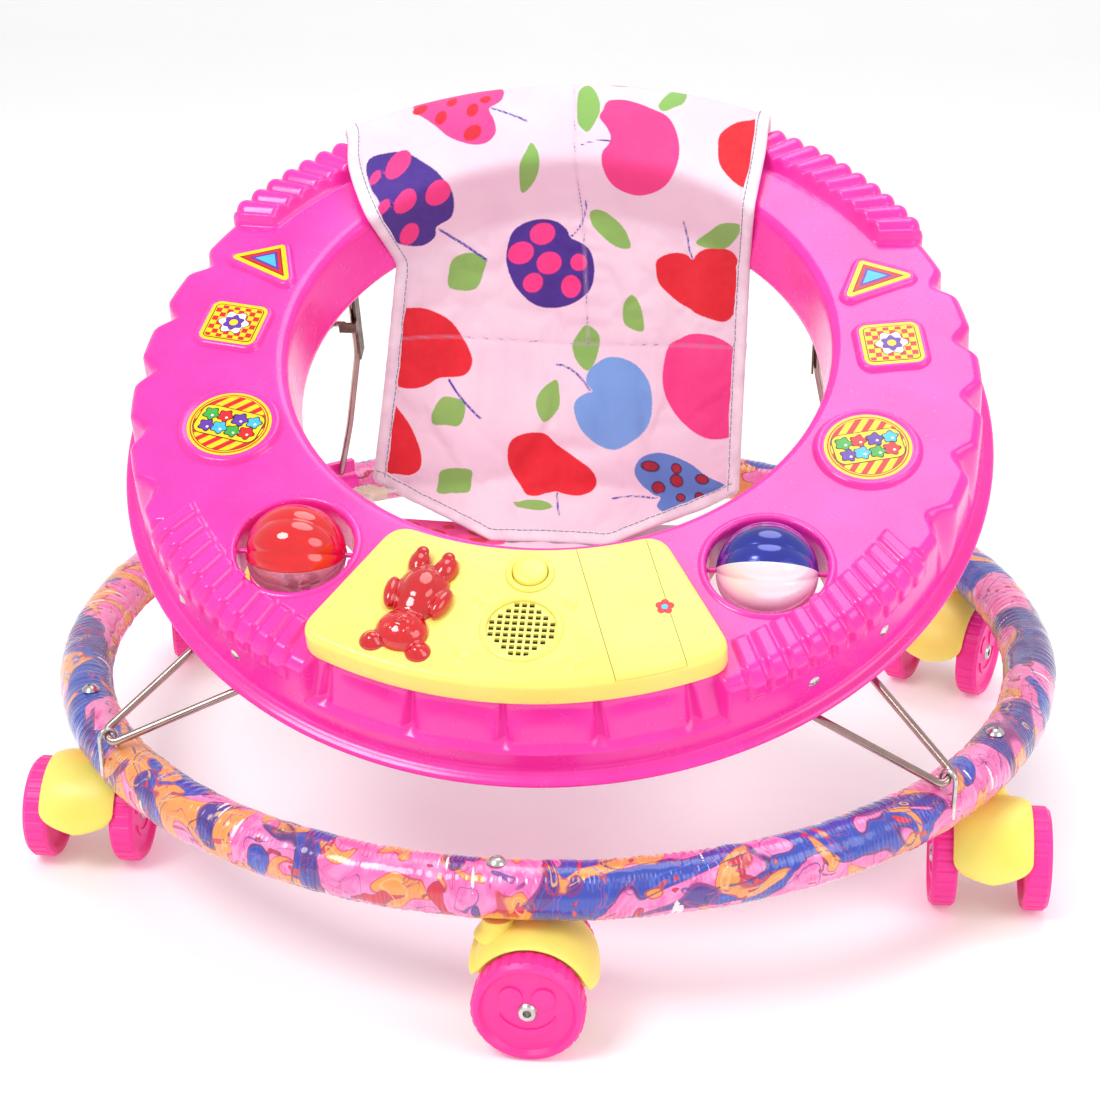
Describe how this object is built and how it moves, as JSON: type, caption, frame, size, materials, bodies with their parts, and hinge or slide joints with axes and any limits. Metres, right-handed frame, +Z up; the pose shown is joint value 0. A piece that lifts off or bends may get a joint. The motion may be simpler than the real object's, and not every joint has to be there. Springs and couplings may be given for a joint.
{
  "type": "baby walker",
  "caption": "Round folding baby walker: play tray with hanging cloth seat, rattle balls and music panel, wire struts, padded base ring on swivel casters.",
  "frame": {"origin": "on the floor, at the middle of the whole object's base", "axes": "+Z up; -Y is the front, where the music panel is; +X to the right of someone who faces the front"},
  "size_m": [0.6539, 0.69, 0.4018],
  "materials": {
    "tube_steel": "plain drawn tube",
    "foam": "closed-cell foam",
    "printed_film": "glossy printed film with a swirl pattern",
    "bright_steel": "bright zinc-plated steel",
    "nickel_wire": "nickel-plated wire, slightly dulled",
    "latch_steel": "dull plated sheet steel",
    "pink_plastic": "glossy moulded plastic",
    "pink_wheel": "moulded plastic with a soft gloss",
    "yellow_plastic": "glossy moulded plastic",
    "sticker": "printed glossy sticker",
    "dark_rubber": "matte",
    "black_plastic": "matte",
    "board": "solder-mask green",
    "battery_jacket": "printed jacket",
    "clear_red": "clear coloured plastic",
    "clear_pink": "clear plastic",
    "pearl_blue": "metallic blue",
    "pearl_white": "pearl white",
    "bead_white": "plain",
    "seat_cloth": "printed cotton over thin wadding",
    "binding": "folded tape",
    "webbing": "woven tape",
    "ivory_plastic": "moulded"
  },
  "bodies": {
    "base": {"ring_tube": "tube_steel", "ring_joiner": "tube_steel", "ring_padding": "foam", "ring_film": "printed_film", "caster_bolts": "bright_steel", "wire_eyelets": "bright_steel", "leg_saddles": "pink_plastic"},
    "tray": {"tray_shell": "pink_plastic", "tray_rivets": "bright_steel", "wire_clips": "bright_steel", "left_front_strut": "nickel_wire", "right_front_strut": "nickel_wire", "stickers": "sticker", "music_panel": "yellow_plastic", "panel_base": "yellow_plastic", "panel_screws": "bright_steel", "button_dome": "dark_rubber", "speaker": "black_plastic", "circuit_board": "board", "batteries": "battery_jacket", "animal_lens": "clear_red", "left_ball_axle": "bright_steel", "right_ball_axle": "bright_steel", "seat_back": "seat_cloth", "seat_front": "seat_cloth", "seat_binding": "binding", "seat_strap": "webbing", "strap_buckle": "ivory_plastic"},
    "button": {"play_button": "yellow_plastic"},
    "cover": {"battery_cover": "yellow_plastic"},
    "left_ball": {"left_ball_top": "clear_red", "left_ball_bottom": "clear_pink", "left_ball_beads": "bead_white"},
    "left_leg": {"left_rear_leg": "nickel_wire", "left_latch_plate": "latch_steel"},
    "left_stay": {"left_stay": "nickel_wire"},
    "right_ball": {"right_ball_top": "pearl_blue", "right_ball_bottom": "pearl_white", "right_ball_beads": "bead_white"},
    "right_leg": {"right_rear_leg": "nickel_wire", "right_latch_plate": "latch_steel"},
    "right_stay": {"right_stay": "nickel_wire"},
    "front_caster": {"front_hood": "yellow_plastic"},
    "front_wheelset": {"front_wheels": "pink_wheel", "front_axle": "bright_steel"},
    "front_right_caster": {"front_right_hood": "yellow_plastic"},
    "front_right_wheelset": {"front_right_wheels": "pink_wheel", "front_right_axle": "bright_steel"},
    "rear_right_caster": {"rear_right_hood": "yellow_plastic"},
    "rear_right_wheelset": {"rear_right_wheels": "pink_wheel", "rear_right_axle": "bright_steel"},
    "rear_caster": {"rear_hood": "yellow_plastic"},
    "rear_wheelset": {"rear_wheels": "pink_wheel", "rear_axle": "bright_steel"},
    "rear_left_caster": {"rear_left_hood": "yellow_plastic"},
    "rear_left_wheelset": {"rear_left_wheels": "pink_wheel", "rear_left_axle": "bright_steel"},
    "front_left_caster": {"front_left_hood": "yellow_plastic"},
    "front_left_wheelset": {"front_left_wheels": "pink_wheel", "front_left_axle": "bright_steel"}
  },
  "joints": [
    {"name": "tray_fold", "type": "hinge", "parent": "base", "child": "tray", "pos_m": [0, -0.20504, 0.1106], "axis": [-1, 0, 0], "range_deg": [0, 25.5]},
    {"name": "button_press", "type": "slide", "parent": "tray", "child": "button", "axis": [0, 0.4305, -0.9026], "range_m": [0, 0.003], "stiffness_N_per_m": 300, "springref_m": -0.001},
    {"name": "cover_slide", "type": "slide", "parent": "tray", "child": "cover", "axis": [0.309, -0.8584, -0.4094], "range_m": [0, 0.06]},
    {"name": "left_ball_spin", "type": "hinge", "parent": "tray", "child": "left_ball", "pos_m": [-0.139, -0.15252, 0.212], "axis": [1, 0, 0], "continuous": true},
    {"name": "left_leg_fold", "type": "hinge", "parent": "tray", "child": "left_leg", "pos_m": [-0.143, 0.1499, 0.3352], "axis": [-1, 0, 0], "range_deg": [0, 60]},
    {"name": "left_stay_lift", "type": "hinge", "parent": "tray", "child": "left_stay", "pos_m": [-0.178, 0.02965, 0.26676], "axis": [1, 0, 0], "range_deg": [0, 32]},
    {"name": "right_ball_spin", "type": "hinge", "parent": "tray", "child": "right_ball", "pos_m": [0.139, -0.15252, 0.212], "axis": [1, 0, 0], "continuous": true},
    {"name": "right_leg_fold", "type": "hinge", "parent": "tray", "child": "right_leg", "pos_m": [0.143, 0.1499, 0.3352], "axis": [-1, 0, 0], "range_deg": [0, 60]},
    {"name": "right_stay_lift", "type": "hinge", "parent": "tray", "child": "right_stay", "pos_m": [0.178, 0.02965, 0.26676], "axis": [1, 0, 0], "range_deg": [0, 32]},
    {"name": "front_swivel", "type": "hinge", "parent": "base", "child": "front_caster", "pos_m": [0, -0.31, 0.07], "axis": [0, 0, 1], "continuous": true},
    {"name": "front_wheel_spin", "type": "hinge", "parent": "front_caster", "child": "front_wheelset", "pos_m": [0.02, -0.31, 0.0315], "axis": [0, 1, 0], "continuous": true},
    {"name": "front_right_swivel", "type": "hinge", "parent": "base", "child": "front_right_caster", "pos_m": [0.27863, -0.13589, 0.07], "axis": [0, 0, 1], "continuous": true},
    {"name": "front_right_wheel_spin", "type": "hinge", "parent": "front_right_caster", "child": "front_right_wheelset", "pos_m": [0.27863, -0.1559, 0.0315], "axis": [1, 0, 0], "continuous": true},
    {"name": "rear_right_swivel", "type": "hinge", "parent": "base", "child": "rear_right_caster", "pos_m": [0.27113, 0.15029, 0.07], "axis": [0, 0, 1], "continuous": true},
    {"name": "rear_right_wheel_spin", "type": "hinge", "parent": "rear_right_caster", "child": "rear_right_wheelset", "pos_m": [0.26397, 0.13162, 0.0315], "axis": [0.9336, -0.3584, 0], "continuous": true},
    {"name": "rear_swivel", "type": "hinge", "parent": "base", "child": "rear_caster", "pos_m": [0, 0.31, 0.07], "axis": [0, 0, 1], "continuous": true},
    {"name": "rear_wheel_spin", "type": "hinge", "parent": "rear_caster", "child": "rear_wheelset", "pos_m": [-0.02, 0.31, 0.0315], "axis": [0, -1, 0], "continuous": true},
    {"name": "rear_left_swivel", "type": "hinge", "parent": "base", "child": "rear_left_caster", "pos_m": [-0.27113, 0.15029, 0.07], "axis": [0, 0, 1], "continuous": true},
    {"name": "rear_left_wheel_spin", "type": "hinge", "parent": "rear_left_caster", "child": "rear_left_wheelset", "pos_m": [-0.26629, 0.13089, 0.0315], "axis": [0.9703, 0.2419, 0], "continuous": true},
    {"name": "front_left_swivel", "type": "hinge", "parent": "base", "child": "front_left_caster", "pos_m": [-0.27863, -0.13589, 0.07], "axis": [0, 0, 1], "continuous": true},
    {"name": "front_left_wheel_spin", "type": "hinge", "parent": "front_left_caster", "child": "front_left_wheelset", "pos_m": [-0.27863, -0.1559, 0.0315], "axis": [1, 0, 0], "continuous": true}
  ],
  "couplings": [
    {"joint": "left_leg_fold", "follows": "tray_fold", "ratio": 2.33},
    {"joint": "left_stay_lift", "follows": "tray_fold", "ratio": 1.243},
    {"joint": "right_leg_fold", "follows": "tray_fold", "ratio": 2.33},
    {"joint": "right_stay_lift", "follows": "tray_fold", "ratio": 1.243}
  ]
}
